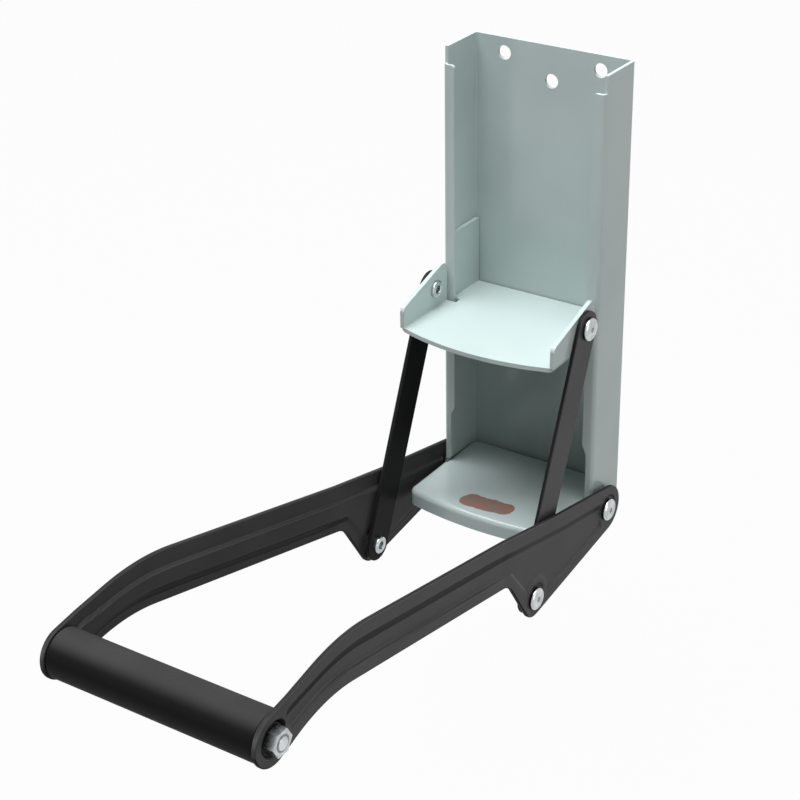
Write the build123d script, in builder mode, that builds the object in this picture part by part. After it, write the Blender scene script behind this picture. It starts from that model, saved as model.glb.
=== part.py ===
from build123d import *
import math
import os

# A lever can crusher that hangs on a wall. Millimetres.
# X runs across it, -Y out of the wall into the room, +Z up.
# The origin is on the back face of the channel, on its centre line, level with the top of the
# base plate, so what lies in front of the wall has a negative Y.
# Side views are drawn on the YZ plane: the first coordinate is Y, the second is Z.

# Channel: a wall strip folded to a C, in which the ram slides
CHANNEL_WIDTH = 80.0
CHANNEL_DEPTH = 26.8
CHANNEL_SHEET = 1.5
CHANNEL_TOP = 205.0
CHANNEL_BELOW_BASE = 16.0
CHANNEL_BEND = 2.0
LIP_WIDTH = 5.6
LIP_FOOT_WIDTH = 3.6
LIP_TOP_DROP = 7.8
LIP_STEP_HEIGHT = 27.0
LIP_STEP_RISE = 4.0
LIP_FOOT_HEIGHT = 1.0
SCREW_HOLE_RADIUS = 3.25
SCREW_SPACING = 48.0
SCREW_PAIR_DROP = 7.0
THIRD_SCREW_DROP = 16.0

# Base plate: a shallow pan, turned down all round
BASE_SHEET = 1.5
BASE_SKIRT = 8.0
BASE_BEND = 2.5
BASE_BACK_GAP = 0.5
BASE_REACH = 64.0
BASE_FRONT_BOW = 4.5
BASE_FRONT_CORNER = 5.0
BASE_REAR_CORNER = 5.0
BASE_SIDE_MARGIN = 0.8
BASE_SHOULDER_GAP = 0.5
BASE_TAB_WIDTH = 14.0
BASE_TAB_DEPTH = 12.5
BASE_TAB_CORNER = 4.0

# Ram: a plate with ears at its sides and guides that run inside the channel
RAM_SHEET = 2.0
RAM_REST_HEIGHT = 83.3
RAM_RUNNING_GAP = 0.3
RAM_BACK_GAP = 0.5
RAM_REACH = 69.8
RAM_FRONT_BOW = 7.0
RAM_BEND = 0.6
GUIDE_HEIGHT = 34.0
GUIDE_LENGTH = 22.5
GUIDE_CORNER = 0.8
LIP_NOTCH_CLEARANCE = 1.8
EAR_SET_IN = 0.6
EAR_LENGTH = 35.8
EAR_BACK_GAP = 1.4
EAR_BACK_HEIGHT = 22.7
EAR_FRONT_HEIGHT = 11.8
EAR_BACK_CORNER = 3.5
EAR_FRONT_CORNER = 3.0
RAM_PIN_OUT = 37.8
RAM_PIN_HEIGHT = 11.3

# Links between the ram and the levers
LINK_SHEET = 1.9
LINK_HALF_WIDTH = 8.0

# Levers: two mirrored pressed arms with a lobe below the pivot that drives the link
PIVOT_OUT = 18.7
PIVOT_DROP = 5.5
LOBE_FORWARD = 65.8
LOBE_DROP = 12.5
HANDLE_OUT = 282.5
HANDLE_RISE = 35.4
ARM_SHEET = 2.0
PIVOT_END_RADIUS = 11.4
LOBE_RADIUS = 9.0
HANDLE_END_RADIUS = 11.2
KNEE_FORWARD = 57.3
KNEE_RISE = 23.0
SHOULDER_BACK = 45.5
SHOULDER_RISE = 18.6
NECK_BACK = 30.5
NECK_DROP = 1.9
VALLEY_FORWARD = 23.0
VALLEY_RISE = 19.0
KNEE_BLEND = 80.0
SHOULDER_BLEND = 100.0
NECK_BLEND = 80.0
VALLEY_BLEND = 12.0
ARM_SPLAY = 6.7
SPLAY_START = 27.5
SPLAY_END = 10.0

# Pressed panel in each arm
PANEL_DEPTH = 0.7
PANEL_TOP_RIM = 8.4
PANEL_LOW_RIM = 5.0
PANEL_FOOT_RIM = 4.0
PANEL_WALL = 1.2
PANEL_FROM_PIVOT = 6.3
PANEL_FROM_HANDLE = 11.9
PANEL_LOBE_RADIUS = 10.0
PANEL_CORNER = 3.0

# Rivets and bushes
RIVET_RADIUS = 2.6
RIVET_HEAD_RADIUS = 5.25
RIVET_HEAD_HEIGHT = 2.0
RIVET_HEAD_DOME = 1.2
RIVET_TAIL_RADIUS = 4.1
RIVET_TAIL_HEIGHT = 1.5
RIVET_TAIL_HOLLOW = 1.9
PIVOT_TAIL_RADIUS = 3.0
SEAT_RADIUS = 6.8
SEAT_DEPTH = 0.4
RUNNING_FIT = 0.05
SIDE_PLAY = 0.15
LINK_EAR_GAP = 0.2
LINK_PANEL_GAP = 0.3
BUSH_FLANGE_RADIUS = 6.5
BUSH_COLLAR_RADIUS = 4.2
LOBE_WASHER_RADIUS = 6.5

# Handle: a grip on a tube, clamped between the arms by a long bolt
GRIP_RADIUS = 10.5
GRIP_END_BLEND = 0.6
GRIP_END_GAP = 0.1
GRIP_END_WALL = 1.4
TUBE_RADIUS = 5.0
TUBE_BORE = 3.1
BOLT_RADIUS = 3.0
BOLT_HOLE_RADIUS = 3.2
BOLT_HEAD_RADIUS = 5.25
BOLT_HEAD_HEIGHT = 3.3
BOLT_HEAD_DOME = 2.0
BOLT_SOCKET_FLATS = 4.0
BOLT_SOCKET_DEPTH = 2.0
NUT_FLATS = 10.0
NUT_HEIGHT = 5.0
BOLT_TIP_OUT = 0.5
WASHER_RADIUS = 6.25
WASHER_SHEET = 1.0
GRIP_WASHER_RADIUS = 9.0
GRIP_WASHER_SHEET = 0.8
DISH_DEPTH = 2.2
DISH_RADIUS = 7.0
DISH_BOSS_RADIUS = 8.8

# ---------------------------------------------------------------- places worked out from the sizes
channel_half = CHANNEL_WIDTH / 2
channel_inner = channel_half - CHANNEL_SHEET
back_inner_y = -CHANNEL_SHEET
lip_front_y = -CHANNEL_DEPTH
lip_back_y = lip_front_y + CHANNEL_SHEET
wall_edge_y = lip_front_y + CHANNEL_BEND
lip_edge = channel_half - LIP_WIDTH

pivot = (-PIVOT_OUT, -PIVOT_DROP)
lobe = (-PIVOT_OUT - LOBE_FORWARD, -PIVOT_DROP - LOBE_DROP)
handle = (-HANDLE_OUT, HANDLE_RISE)
ram_pin = (-RAM_PIN_OUT, RAM_REST_HEIGHT + RAM_PIN_HEIGHT)

ram_guide_outer = channel_inner - RAM_RUNNING_GAP
ear_outer = channel_half - EAR_SET_IN
ear_inner = ear_outer - RAM_SHEET
link_inner = ear_outer + LINK_EAR_GAP
link_outer = link_inner + LINK_SHEET
arm_panel_inner = link_outer + LINK_PANEL_GAP
arm_inner = arm_panel_inner + PANEL_DEPTH
arm_outer = arm_inner + ARM_SHEET
handle_inner = arm_inner + ARM_SPLAY
handle_outer = handle_inner + ARM_SHEET
boss_x = handle_inner - DISH_DEPTH
dish_floor_x = boss_x + ARM_SHEET
seat_x = arm_outer - SEAT_DEPTH
splay_start_y = lobe[0] - SPLAY_START
splay_end_y = handle[0] + SPLAY_END


def towards(origin, target):
    """Angle from one side-view point to another, in radians."""
    return math.atan2(target[1] - origin[1], target[0] - origin[0])


def on_circle(centre, radius, angle):
    return (centre[0] + radius * math.cos(angle), centre[1] + radius * math.sin(angle))


def tangent_point(centre, radius, outside, side):
    """Where the tangent from an outside point meets a circle; side +1 is anticlockwise of it."""
    distance = math.dist(centre, outside)
    return on_circle(centre, radius, towards(centre, outside) + side * math.acos(radius / distance))


def common_tangent(first, first_radius, second, second_radius, side):
    """The two points where one outer tangent meets two circles."""
    lean = math.acos((first_radius - second_radius) / math.dist(first, second))
    angle = towards(first, second) + side * lean
    return on_circle(first, first_radius, angle), on_circle(second, second_radius, angle)


def save(piece, name):
    piece.label = name
    export_step(piece, f"parts/{name}.step")


def save_pair(right_piece, name):
    """Write the right-hand piece and its mirror image, which is the left-hand one."""
    left_piece = mirror(right_piece, about=Plane.YZ)
    save(left_piece, f"{name}_left")
    save(right_piece, f"{name}_right")


os.makedirs("parts", exist_ok=True)

# ---------------------------------------------------------------- channel
channel_height = CHANNEL_TOP + CHANNEL_BELOW_BASE
lip_top = CHANNEL_TOP - LIP_TOP_DROP
step_high = LIP_STEP_HEIGHT + LIP_STEP_RISE / 2
step_low = LIP_STEP_HEIGHT - LIP_STEP_RISE / 2
lip_foot_edge = channel_half - LIP_FOOT_WIDTH
past_edge = channel_half + CHANNEL_BEND
with BuildPart() as channel_body:
    with BuildSketch(Plane.XY.offset(-CHANNEL_BELOW_BASE)):
        with Locations((0, -CHANNEL_DEPTH / 2)):
            Rectangle(CHANNEL_WIDTH, CHANNEL_DEPTH)
        fillet(vertices(), CHANNEL_BEND)
        with Locations((0, -CHANNEL_DEPTH / 2)):
            RectangleRounded(2 * channel_inner, CHANNEL_DEPTH - 2 * CHANNEL_SHEET,
                             CHANNEL_BEND - CHANNEL_SHEET, mode=Mode.SUBTRACT)
    extrude(amount=channel_height)
    # the opening between the lips, which widens at their feet and is as wide as the channel past
    # their two ends
    with BuildSketch(Plane.XZ.offset(-wall_edge_y)):
        with BuildLine():
            half = FilletPolyline(
                (0, -CHANNEL_BELOW_BASE - 1), (past_edge, -CHANNEL_BELOW_BASE - 1),
                (past_edge, LIP_FOOT_HEIGHT), (lip_foot_edge, LIP_FOOT_HEIGHT),
                (lip_foot_edge, step_low), (lip_edge, step_high), (lip_edge, lip_top),
                (past_edge, lip_top), (past_edge, CHANNEL_TOP + 1), (0, CHANNEL_TOP + 1),
                radius=[0, 0, 1.2, 2, 2, 1.5, 0, 0])
            mirror(half, about=Plane.YZ)
        make_face()
    extrude(amount=CHANNEL_BEND + 1, mode=Mode.SUBTRACT)
    with BuildSketch(Plane.XZ):
        with Locations((0, CHANNEL_TOP - SCREW_PAIR_DROP)):
            with GridLocations(SCREW_SPACING, 1, 2, 1):
                Circle(SCREW_HOLE_RADIUS)
        with Locations((0, CHANNEL_TOP - THIRD_SCREW_DROP)):
            Circle(SCREW_HOLE_RADIUS)
    extrude(amount=CHANNEL_SHEET + 1, mode=Mode.SUBTRACT)
    with BuildSketch(Plane.YZ.offset(-channel_half - 1)):
        with Locations(pivot):
            Circle(RIVET_RADIUS)
    extrude(amount=CHANNEL_WIDTH + 2, mode=Mode.SUBTRACT)
save(channel_body.part, "channel_body")

# ---------------------------------------------------------------- base plate
base_front_half = channel_half - BASE_SIDE_MARGIN
base_shoulder_y = lip_front_y - BASE_SHOULDER_GAP
base_back_y = back_inner_y - BASE_BACK_GAP
base_corner_y = -BASE_REACH + BASE_FRONT_BOW
tab_back_y = pivot[0] + BASE_TAB_WIDTH / 2
tab_front_y = pivot[0] - BASE_TAB_WIDTH / 2
pivot_foot_x = channel_inner - BASE_SHEET


def pan_block(inset, bend):
    """A solid block of the pan's outline drawn in by an inset, its top edge rounded."""
    side_in = channel_inner - inset
    side_out = base_front_half - inset
    back_y = base_back_y - inset
    shoulder_y = base_shoulder_y - inset
    with BuildPart() as block:
        with BuildSketch(Plane.XY.offset(-inset)) as plan:
            with BuildLine():
                sides = Polyline((-side_out, base_corner_y + inset), (-side_out, shoulder_y),
                                 (-side_in, shoulder_y), (-side_in, back_y), (side_in, back_y),
                                 (side_in, shoulder_y), (side_out, shoulder_y),
                                 (side_out, base_corner_y + inset))
                ThreePointArc(sides @ 0, (0, -BASE_REACH + inset), sides @ 1)
            make_face()
            fillet(plan.vertices().sort_by(Axis.Y)[:2], BASE_FRONT_CORNER - inset)
            fillet(plan.vertices().sort_by(Axis.Y)[-2:], BASE_REAR_CORNER - inset)
        extrude(amount=-BASE_SKIRT)
        fillet(block.faces().sort_by(Axis.Z)[-1].edges(), bend)
    return block.part


with BuildPart() as base_plate:
    add(pan_block(0, BASE_BEND))
    add(pan_block(BASE_SHEET, BASE_BEND - BASE_SHEET), mode=Mode.SUBTRACT)
    # a deeper tab of the skirt inside each side of the channel takes the pivot rivet
    for inner_x in (-channel_inner, pivot_foot_x):
        with BuildSketch(Plane.YZ.offset(inner_x)):
            with BuildLine():
                FilletPolyline((tab_back_y, -BASE_BEND), (tab_front_y, -BASE_BEND),
                               (tab_front_y, -BASE_TAB_DEPTH), (tab_back_y, -BASE_TAB_DEPTH), close=True,
                               radius=[0, 0, BASE_TAB_CORNER, BASE_TAB_CORNER])
            make_face()
        extrude(amount=BASE_SHEET)
    with BuildSketch(Plane.YZ.offset(-channel_half)):
        with Locations(pivot):
            Circle(RIVET_RADIUS)
    extrude(amount=CHANNEL_WIDTH, mode=Mode.SUBTRACT)
save(base_plate.part, "base_plate")

# ---------------------------------------------------------------- ram
ram_top = RAM_REST_HEIGHT + RAM_SHEET
ram_back_y = back_inner_y - RAM_BACK_GAP
guide_front_y = ram_back_y - GUIDE_LENGTH
guide_inner = ram_guide_outer - RAM_SHEET
ear_back_y = lip_front_y - EAR_BACK_GAP
ear_front_y = ear_back_y - EAR_LENGTH
notch_edge = lip_edge - LIP_NOTCH_CLEARANCE
ram_corner_y = -RAM_REACH + RAM_FRONT_BOW


def trough(half_width, back_y, front_y, side_view):
    """Sheet folded up at both sides, whose upright edges follow a side view."""
    outer_bend = RAM_BEND + RAM_SHEET
    with BuildPart() as folded:
        with BuildSketch(Plane.XZ.offset(-back_y)):
            with BuildLine():
                FilletPolyline(
                    (-half_width, CHANNEL_TOP), (-half_width, RAM_REST_HEIGHT),
                    (half_width, RAM_REST_HEIGHT), (half_width, CHANNEL_TOP), close=True,
                    radius=[0, outer_bend, outer_bend, 0])
            make_face()
            with BuildLine():
                FilletPolyline(
                    (-half_width + RAM_SHEET, CHANNEL_TOP + 1), (-half_width + RAM_SHEET, ram_top),
                    (half_width - RAM_SHEET, ram_top), (half_width - RAM_SHEET, CHANNEL_TOP + 1),
                    close=True, radius=[0, RAM_BEND, RAM_BEND, 0])
            make_face(mode=Mode.SUBTRACT)
        extrude(amount=back_y - front_y)
        with BuildSketch(Plane.YZ):
            add(side_view)
            make_face()
        extrude(amount=half_width, both=True, mode=Mode.INTERSECT)
    return folded.part


with BuildLine() as guide_side:
    FilletPolyline(
        (ram_back_y, RAM_REST_HEIGHT), (ram_back_y, RAM_REST_HEIGHT + GUIDE_HEIGHT),
        (guide_front_y, RAM_REST_HEIGHT + GUIDE_HEIGHT), (guide_front_y, RAM_REST_HEIGHT),
        close=True, radius=[0, GUIDE_CORNER, GUIDE_CORNER, 0])
with BuildLine() as ear_side:
    FilletPolyline(
        (ear_back_y, RAM_REST_HEIGHT), (ear_back_y, RAM_REST_HEIGHT + EAR_BACK_HEIGHT),
        (ear_front_y, RAM_REST_HEIGHT + EAR_FRONT_HEIGHT),
        (ear_front_y, ram_top), (-RAM_REACH, ram_top), (-RAM_REACH, RAM_REST_HEIGHT), close=True,
        radius=[0, EAR_BACK_CORNER, EAR_FRONT_CORNER, 0, 0, 0])
with BuildPart() as crusher_ram:
    add(trough(ram_guide_outer, ram_back_y, guide_front_y, guide_side.line))
    add(trough(ear_outer, ear_back_y, -RAM_REACH, ear_side.line))
    with BuildSketch(Plane.XY.offset(RAM_REST_HEIGHT)):
        with Locations((0, (guide_front_y + ear_back_y) / 2)):
            Rectangle(2 * notch_edge, guide_front_y - ear_back_y)
    extrude(amount=RAM_SHEET)
    # the convex front edge of the plate
    with BuildSketch(Plane.XY.offset(RAM_REST_HEIGHT)):
        with BuildLine():
            ThreePointArc((ear_outer, ram_corner_y), (0, -RAM_REACH), (-ear_outer, ram_corner_y))
            Polyline((-ear_outer, ram_corner_y), (-ear_outer, -2 * RAM_REACH),
                     (ear_outer, -2 * RAM_REACH), (ear_outer, ram_corner_y))
        make_face()
    extrude(amount=RAM_SHEET, mode=Mode.SUBTRACT)
    with BuildSketch(Plane.YZ.offset(-channel_half - 1)):
        with Locations(ram_pin):
            Circle(RIVET_RADIUS)
    extrude(amount=CHANNEL_WIDTH + 2, mode=Mode.SUBTRACT)
save(crusher_ram.part, "crusher_ram")

# ---------------------------------------------------------------- links
link_length = math.dist(ram_pin, lobe)
link_angle = math.degrees(towards(ram_pin, lobe))
link_middle = ((ram_pin[0] + lobe[0]) / 2, (ram_pin[1] + lobe[1]) / 2)
with BuildPart() as link:
    with BuildSketch(Plane.YZ.offset(link_inner)):
        with Locations(Location(link_middle + (0,), link_angle)):
            SlotCenterToCenter(link_length, 2 * LINK_HALF_WIDTH)
        with Locations(ram_pin):
            Circle(RIVET_RADIUS + RUNNING_FIT, mode=Mode.SUBTRACT)
        with Locations(lobe):
            Circle(RIVET_RADIUS, mode=Mode.SUBTRACT)
    extrude(amount=LINK_SHEET)
    flat_edges = link.faces().filter_by(Axis.X)
    chamfer(flat_edges.edges().filter_by(GeomType.LINE), 0.25)
save_pair(link.part, "link")

# ---------------------------------------------------------------- levers
knee = (pivot[0] - KNEE_FORWARD, pivot[1] + KNEE_RISE)
shoulder = (handle[0] + SHOULDER_BACK, handle[1] + SHOULDER_RISE)
neck = (handle[0] + NECK_BACK, handle[1] - NECK_DROP)
valley = (lobe[0] - VALLEY_FORWARD, lobe[1] + VALLEY_RISE)


def bent_strip(inner, thickness):
    """Plan of a lever's sheet: straight beside the links, splayed, then straight at the handle."""
    reach = HANDLE_OUT + 3 * HANDLE_END_RADIUS
    with BuildPart() as strip:
        with BuildSketch(Plane.XY.offset(-2 * HANDLE_OUT)):
            with BuildLine():
                Polyline(
                    (inner, reach), (inner, splay_start_y), (inner + ARM_SPLAY, splay_end_y),
                    (inner + ARM_SPLAY, -reach), (inner + ARM_SPLAY + thickness, -reach),
                    (inner + ARM_SPLAY + thickness, splay_end_y),
                    (inner + thickness, splay_start_y), (inner + thickness, reach), close=True)
            make_face()
        extrude(amount=4 * HANDLE_OUT)
    return strip.part


def arm_outline():
    """Side view of an arm: a bar between three round ends."""
    lobe_foot, pivot_foot = common_tangent(lobe, LOBE_RADIUS, pivot, PIVOT_END_RADIUS, -1)
    with BuildSketch(Plane.YZ) as outline:
        with BuildLine():
            FilletPolyline(
                tangent_point(pivot, PIVOT_END_RADIUS, knee, -1), knee, shoulder,
                tangent_point(handle, HANDLE_END_RADIUS, shoulder, 1),
                tangent_point(handle, HANDLE_END_RADIUS, neck, -1), neck, valley,
                tangent_point(lobe, LOBE_RADIUS, valley, 1), lobe_foot, pivot_foot, close=True,
                radius=[0, KNEE_BLEND, SHOULDER_BLEND, 0, 0, NECK_BLEND, VALLEY_BLEND, 0, 0, 0])
        make_face()
        for centre, radius in ((pivot, PIVOT_END_RADIUS), (lobe, LOBE_RADIUS),
                               (handle, HANDLE_END_RADIUS)):
            with Locations(centre):
                Circle(radius)
    return outline.sketch


def panel_outline(growth):
    """Side view of the pressed panel, grown by the thickness of its wall."""
    from_pivot = pivot[0] - PANEL_FROM_PIVOT
    from_handle = handle[0] + PANEL_FROM_HANDLE
    with BuildSketch(Plane.YZ) as outline:
        with BuildLine():
            FilletPolyline(
                (from_pivot, pivot[1] + 4.7), (knee[0], knee[1] - PANEL_TOP_RIM),
                (shoulder[0], shoulder[1] - PANEL_TOP_RIM), (from_handle, handle[1] + 6.4),
                (from_handle, handle[1] - 2.6), (neck[0] + 5, neck[1] + PANEL_LOW_RIM),
                (valley[0] + 2, valley[1] + PANEL_LOW_RIM), (lobe[0] - 5, lobe[1] + 5),
                (lobe[0] + 5, lobe[1] - 4.7),
                (from_pivot, pivot[1] - PIVOT_END_RADIUS + PANEL_FOOT_RIM - 1), close=True,
                radius=[PANEL_CORNER, KNEE_BLEND, SHOULDER_BLEND, PANEL_CORNER, PANEL_CORNER,
                        NECK_BLEND, PANEL_CORNER, 0, 0, PANEL_CORNER])
        make_face()
        if growth:
            offset(amount=growth, kind=Kind.INTERSECTION)
        with Locations(lobe):
            Circle(PANEL_LOBE_RADIUS - growth, mode=Mode.SUBTRACT)
    return outline.sketch


def prism(profile, strip):
    """A side view carried straight across and kept where it lies in a strip of sheet."""
    with BuildPart() as solid:
        add(profile.moved(Location((channel_half - BUSH_FLANGE_RADIUS, 0, 0))))
        extrude(amount=8 * ARM_SPLAY, dir=(1, 0, 0))
        add(strip, mode=Mode.INTERSECT)
    return solid.part


with BuildPart() as lever_arm:
    add(prism(arm_outline(), bent_strip(arm_inner, ARM_SHEET)))
    add(prism(panel_outline(PANEL_WALL), bent_strip(arm_panel_inner, PANEL_DEPTH)))
    add(prism(panel_outline(0), bent_strip(arm_outer - PANEL_DEPTH, 2 * PANEL_DEPTH)), mode=Mode.SUBTRACT)
    # the dished end, in which the bolt's head or nut sits
    with BuildSketch(Plane.YZ.offset(boss_x)):
        with Locations(handle):
            Circle(DISH_BOSS_RADIUS)
    extrude(amount=DISH_DEPTH)
    # round seats from the outside, then the holes through them
    for centre, radius, depth_x in ((pivot, SEAT_RADIUS, seat_x), (lobe, SEAT_RADIUS, seat_x),
                                    (handle, DISH_RADIUS, dish_floor_x),
                                    (pivot, RIVET_RADIUS + RUNNING_FIT, channel_half),
                                    (lobe, RIVET_RADIUS, channel_half),
                                    (handle, BOLT_HOLE_RADIUS, channel_half)):
        with BuildSketch(Plane.YZ.offset(depth_x)):
            with Locations(centre):
                Circle(radius)
        extrude(amount=handle_outer, mode=Mode.SUBTRACT)
save_pair(lever_arm.part, "lever_arm")

# ---------------------------------------------------------------- rivets, bushes and washers
def turned(centre, half_section, blends):
    """A round piece about an axis along X; its half section is given as (X, radius) points."""
    place = Plane(origin=(0,) + centre, x_dir=(1, 0, 0), z_dir=(0, -1, 0))
    with BuildPart() as solid:
        with BuildSketch(place):
            with BuildLine():
                FilletPolyline(half_section, close=True, radius=blends)
            make_face()
        revolve(axis=Axis(place.origin, (1, 0, 0)))
    return solid.part


def ring(centre, inner_x, outer_x, outer_radius, bore_radius):
    with BuildPart() as solid:
        with BuildSketch(Plane.YZ.offset(inner_x)):
            with Locations(centre):
                Circle(outer_radius)
                Circle(bore_radius, mode=Mode.SUBTRACT)
        extrude(amount=outer_x - inner_x)
    return solid.part


def domed_rivet(centre, foot_x, head_x):
    """A plain shank with a domed head outside."""
    top_x = head_x + RIVET_HEAD_HEIGHT
    return turned(
        centre,
        [(foot_x, 0), (foot_x, RIVET_RADIUS), (head_x, RIVET_RADIUS), (head_x, RIVET_HEAD_RADIUS),
         (top_x, RIVET_HEAD_RADIUS), (top_x, 0)],
        [0, 0, 0, 0, RIVET_HEAD_DOME, 0])


def hollow_tail(centre, radius, face_x, tip_x):
    """The rolled, hollow end of a rivet against an inner face, with its shank out to a tip."""
    end_x = face_x - RIVET_TAIL_HEIGHT
    hollow_x = face_x + RIVET_TAIL_HEIGHT / 2
    return turned(
        centre,
        [(hollow_x, 0), (hollow_x, RIVET_TAIL_HOLLOW), (end_x, RIVET_TAIL_HOLLOW), (end_x, radius),
         (face_x, radius), (face_x, RIVET_RADIUS), (tip_x, RIVET_RADIUS), (tip_x, 0)],
        [0, 0, 0.3, 0.6, 0, 0, 0, 0])


with BuildPart() as pivot_rivet:
    add(domed_rivet(pivot, channel_half, seat_x + SIDE_PLAY))
    add(hollow_tail(pivot, PIVOT_TAIL_RADIUS, pivot_foot_x, channel_half))
save_pair(pivot_rivet.part, "pivot_rivet")

bush_end_x = arm_inner - SIDE_PLAY
with BuildPart() as pivot_bush:
    add(ring(pivot, channel_half, link_outer, BUSH_FLANGE_RADIUS, RIVET_RADIUS))
    add(ring(pivot, link_outer, bush_end_x, BUSH_COLLAR_RADIUS, RIVET_RADIUS))
save_pair(pivot_bush.part, "pivot_bush")

save_pair(domed_rivet(lobe, arm_panel_inner, seat_x), "lobe_rivet")
save_pair(ring(lobe, arm_panel_inner, arm_inner, LOBE_WASHER_RADIUS, RIVET_RADIUS), "lobe_washer")
save_pair(hollow_tail(lobe, RIVET_TAIL_RADIUS, link_inner, link_outer), "lobe_rivet_tail")

ram_rivet_head_x = link_outer + SIDE_PLAY
with BuildPart() as ram_rivet:
    add(domed_rivet(ram_pin, link_inner, ram_rivet_head_x))
    add(hollow_tail(ram_pin, RIVET_TAIL_RADIUS, ear_inner, link_inner))
save_pair(ram_rivet.part, "ram_rivet")

# ---------------------------------------------------------------- handle
grip_washer_x = boss_x - GRIP_WASHER_SHEET
washer_x = dish_floor_x + WASHER_SHEET
nut_x = washer_x + NUT_HEIGHT
grip_end_x = handle_inner - GRIP_END_GAP
with BuildPart() as grip_sleeve:
    with BuildSketch(Plane.YZ.offset(-grip_end_x)):
        with Locations(handle):
            Circle(GRIP_RADIUS)
    extrude(amount=2 * grip_end_x)
    fillet(grip_sleeve.edges().filter_by(GeomType.CIRCLE), GRIP_END_BLEND)
    # the tube's bore, and a wide mouth at each end over the grip's washer and the arm's boss
    for from_x, to_x, radius in ((-grip_washer_x, grip_washer_x, TUBE_RADIUS),
                                 (-grip_end_x, -grip_washer_x, GRIP_RADIUS - GRIP_END_WALL),
                                 (grip_washer_x, grip_end_x, GRIP_RADIUS - GRIP_END_WALL)):
        with BuildSketch(Plane.YZ.offset(from_x)):
            with Locations(handle):
                Circle(radius)
        extrude(amount=to_x - from_x, mode=Mode.SUBTRACT)
save(grip_sleeve.part, "grip_sleeve")

save(ring(handle, -grip_washer_x, grip_washer_x, TUBE_RADIUS, TUBE_BORE), "grip_tube")
save_pair(ring(handle, grip_washer_x, boss_x, GRIP_WASHER_RADIUS, BOLT_HOLE_RADIUS), "grip_washer")
save_pair(ring(handle, dish_floor_x, washer_x, WASHER_RADIUS, BOLT_HOLE_RADIUS), "handle_washer")

with BuildPart() as handle_bolt:
    with BuildSketch(Plane.YZ.offset(-washer_x - BOLT_HEAD_HEIGHT)):
        with Locations(handle):
            Circle(BOLT_HEAD_RADIUS)
    extrude(amount=BOLT_HEAD_HEIGHT)
    fillet(handle_bolt.edges().sort_by(Axis.X)[0], BOLT_HEAD_DOME)
    with BuildSketch(Plane.YZ.offset(-washer_x)):
        with Locations(handle):
            Circle(BOLT_RADIUS)
    extrude(amount=washer_x + nut_x + BOLT_TIP_OUT)
    chamfer(handle_bolt.edges().sort_by(Axis.X)[-1], 0.5)
    with BuildSketch(Plane.YZ.offset(-washer_x - BOLT_HEAD_HEIGHT)):
        with Locations(handle):
            RegularPolygon(BOLT_SOCKET_FLATS / 2, 6, major_radius=False)
    extrude(amount=BOLT_SOCKET_DEPTH, mode=Mode.SUBTRACT)
save(handle_bolt.part, "handle_bolt")

with BuildPart() as handle_nut:
    with BuildSketch(Plane.YZ.offset(washer_x)):
        with Locations(handle):
            RegularPolygon(NUT_FLATS / 2, 6, major_radius=False)
            Circle(BOLT_RADIUS, mode=Mode.SUBTRACT)
    extrude(amount=NUT_HEIGHT)
save(handle_nut.part, "handle_nut")
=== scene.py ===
# %% [markdown]
# ## A lever can crusher, dressed around its frame
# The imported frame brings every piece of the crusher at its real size: the folded channel, the
# ram, the links, the two-armed lever and the small steel parts. This script gives them their
# finishes and adds what pressing, rolling and painting leave on the real pieces. It works in
# metres, in the frame's own axes: X across, -Y out of the wall, +Z up. Sizes taken from a drawing
# are written in millimetres and multiplied by MM.

# %% Load the frame
import math

import bmesh
import bpy
import numpy as np
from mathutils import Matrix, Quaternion, Vector


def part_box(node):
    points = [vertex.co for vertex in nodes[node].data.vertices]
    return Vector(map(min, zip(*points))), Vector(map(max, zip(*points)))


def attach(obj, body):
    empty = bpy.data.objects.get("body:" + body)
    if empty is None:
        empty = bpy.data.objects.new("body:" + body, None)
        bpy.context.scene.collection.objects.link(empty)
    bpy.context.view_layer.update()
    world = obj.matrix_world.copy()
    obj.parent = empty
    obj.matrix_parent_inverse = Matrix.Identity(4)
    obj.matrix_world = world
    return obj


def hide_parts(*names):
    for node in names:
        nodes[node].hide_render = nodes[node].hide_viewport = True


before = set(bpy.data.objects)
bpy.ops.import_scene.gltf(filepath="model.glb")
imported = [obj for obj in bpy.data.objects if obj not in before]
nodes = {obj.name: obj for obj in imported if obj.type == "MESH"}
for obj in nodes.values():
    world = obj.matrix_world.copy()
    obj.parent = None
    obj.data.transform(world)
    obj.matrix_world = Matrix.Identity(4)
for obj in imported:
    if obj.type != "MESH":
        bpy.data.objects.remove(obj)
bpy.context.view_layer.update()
MM = 0.001

# %% [markdown]
# ## The camera
# The viewpoint comes from points that can be named both in the photograph and on the crusher: the
# channel's corners, the screw holes, the rivet heads and the ends of the grip. A long lens stands
# to the right of the crusher and above it, 0.89 m from the point that it is aimed at, and leans by
# almost a degree. The lean is a turn about the line of sight, put on after the camera is aimed.

# %% The camera
CAMERA_PLACE = Vector((409.1, -727.9, 473.3)) * MM
CAMERA_AIM = Vector((-29.8, -79.4, 58.3)) * MM
CAMERA_LEAN = math.radians(-0.95)

camera_data = bpy.data.cameras.new("camera")
camera_data.lens = 89.5
camera_data.sensor_width = 36.0
camera_data.clip_start = 0.01
camera = bpy.data.objects.new("camera", camera_data)
bpy.context.scene.collection.objects.link(camera)
bpy.context.scene.camera = camera
camera.location = CAMERA_PLACE
camera.rotation_mode = "QUATERNION"
aimed = (CAMERA_AIM - CAMERA_PLACE).to_track_quat("-Z", "Y")
camera.rotation_quaternion = aimed @ Quaternion((0, 0, 1), CAMERA_LEAN)
print("camera", round((CAMERA_AIM - CAMERA_PLACE).length, 3), "m from its aim")

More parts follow.
